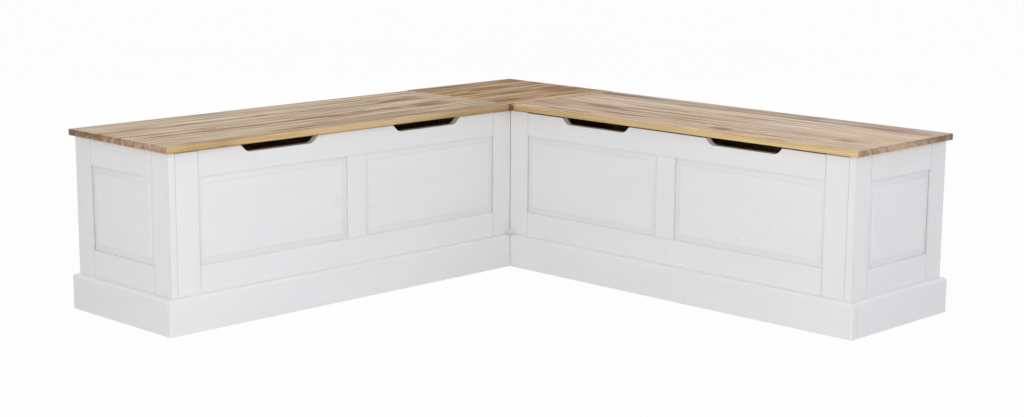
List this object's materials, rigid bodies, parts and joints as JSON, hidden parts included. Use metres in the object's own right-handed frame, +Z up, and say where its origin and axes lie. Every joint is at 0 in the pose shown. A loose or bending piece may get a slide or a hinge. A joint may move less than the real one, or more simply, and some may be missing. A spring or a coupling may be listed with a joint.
{
  "type": "corner storage bench",
  "caption": "L-shaped corner storage bench: framed chests with raised panels, hinged lift-up lids with finger cut-outs, a fixed square corner top and a plinth.",
  "frame": {"origin": "on the floor, under the centre of the bench's bounding box, which lies in the nook between the two arms", "axes": "+Z up; the right chest runs along +X, the left chest along -Y, and the room's corner is at -X +Y"},
  "size_m": [1.5414, 1.5414, 0.45],
  "materials": {
    "white_paint": "white satin paint over pine",
    "white_panel": "white satin paint over pine, faint grain showing",
    "waxed_pine": "waxed natural pine, open grain with small knots",
    "bare_pine": "planed bare pine",
    "plywood": "sanded bare plywood",
    "zinc_steel": "bright zinc-plated steel",
    "grey_felt": "grey felt"
  },
  "bodies": {
    "carcase": {"right_front_inner_stile": "white_paint", "right_front_outer_stile": "white_paint", "right_front_muntin": "white_paint", "right_front_top_rail": "white_paint", "right_front_bottom_rail": "white_paint", "right_front_inner_panel": "white_panel", "right_front_outer_panel": "white_panel", "right_end_front_stile": "white_paint", "right_end_rear_stile": "white_paint", "right_end_top_rail": "white_paint", "right_end_bottom_rail": "white_paint", "right_end_panel": "white_panel", "right_back_top_rail": "white_paint", "right_back_bottom_rail": "white_paint", "right_back_panel": "plywood", "right_floor_panel": "plywood", "right_partition": "bare_pine", "right_plinth_front": "white_paint", "right_plinth_end": "white_paint", "right_hinge_carcase_leaf": "zinc_steel", "right_hinge_pin": "zinc_steel", "right_inner_bumper": "grey_felt", "right_middle_bumper": "grey_felt", "right_outer_bumper": "grey_felt", "left_front_inner_stile": "white_paint", "left_front_outer_stile": "white_paint", "left_front_muntin": "white_paint", "left_front_top_rail": "white_paint", "left_front_bottom_rail": "white_paint", "left_front_inner_panel": "white_panel", "left_front_outer_panel": "white_panel", "left_end_front_stile": "white_paint", "left_end_rear_stile": "white_paint", "left_end_top_rail": "white_paint", "left_end_bottom_rail": "white_paint", "left_end_panel": "white_panel", "left_back_top_rail": "white_paint", "left_back_bottom_rail": "white_paint", "left_back_panel": "plywood", "left_floor_panel": "plywood", "left_partition": "bare_pine", "left_plinth_front": "white_paint", "left_plinth_end": "white_paint", "left_hinge_carcase_leaf": "zinc_steel", "left_hinge_pin": "zinc_steel", "left_inner_bumper": "grey_felt", "left_middle_bumper": "grey_felt", "left_outer_bumper": "grey_felt", "corner_top": "waxed_pine", "corner_back_right": "plywood", "corner_back_left": "plywood", "corner_post": "bare_pine"},
    "right_lid_assembly": {"right_lid": "waxed_pine", "right_lid_inner_batten": "bare_pine", "right_lid_outer_batten": "bare_pine", "right_hinge_lid_leaf": "zinc_steel"},
    "left_lid_assembly": {"left_lid": "waxed_pine", "left_lid_inner_batten": "bare_pine", "left_lid_outer_batten": "bare_pine", "left_hinge_lid_leaf": "zinc_steel"}
  },
  "joints": [
    {"name": "right_lid_hinge", "type": "hinge", "parent": "carcase", "child": "right_lid_assembly", "pos_m": [0.1881, 0.76585, 0.433], "axis": [-1, 0, 0], "range_deg": [0, 90]},
    {"name": "left_lid_hinge", "type": "hinge", "parent": "carcase", "child": "left_lid_assembly", "pos_m": [-0.76585, -0.1881, 0.433], "axis": [0, -1, 0], "range_deg": [0, 90]}
  ]
}
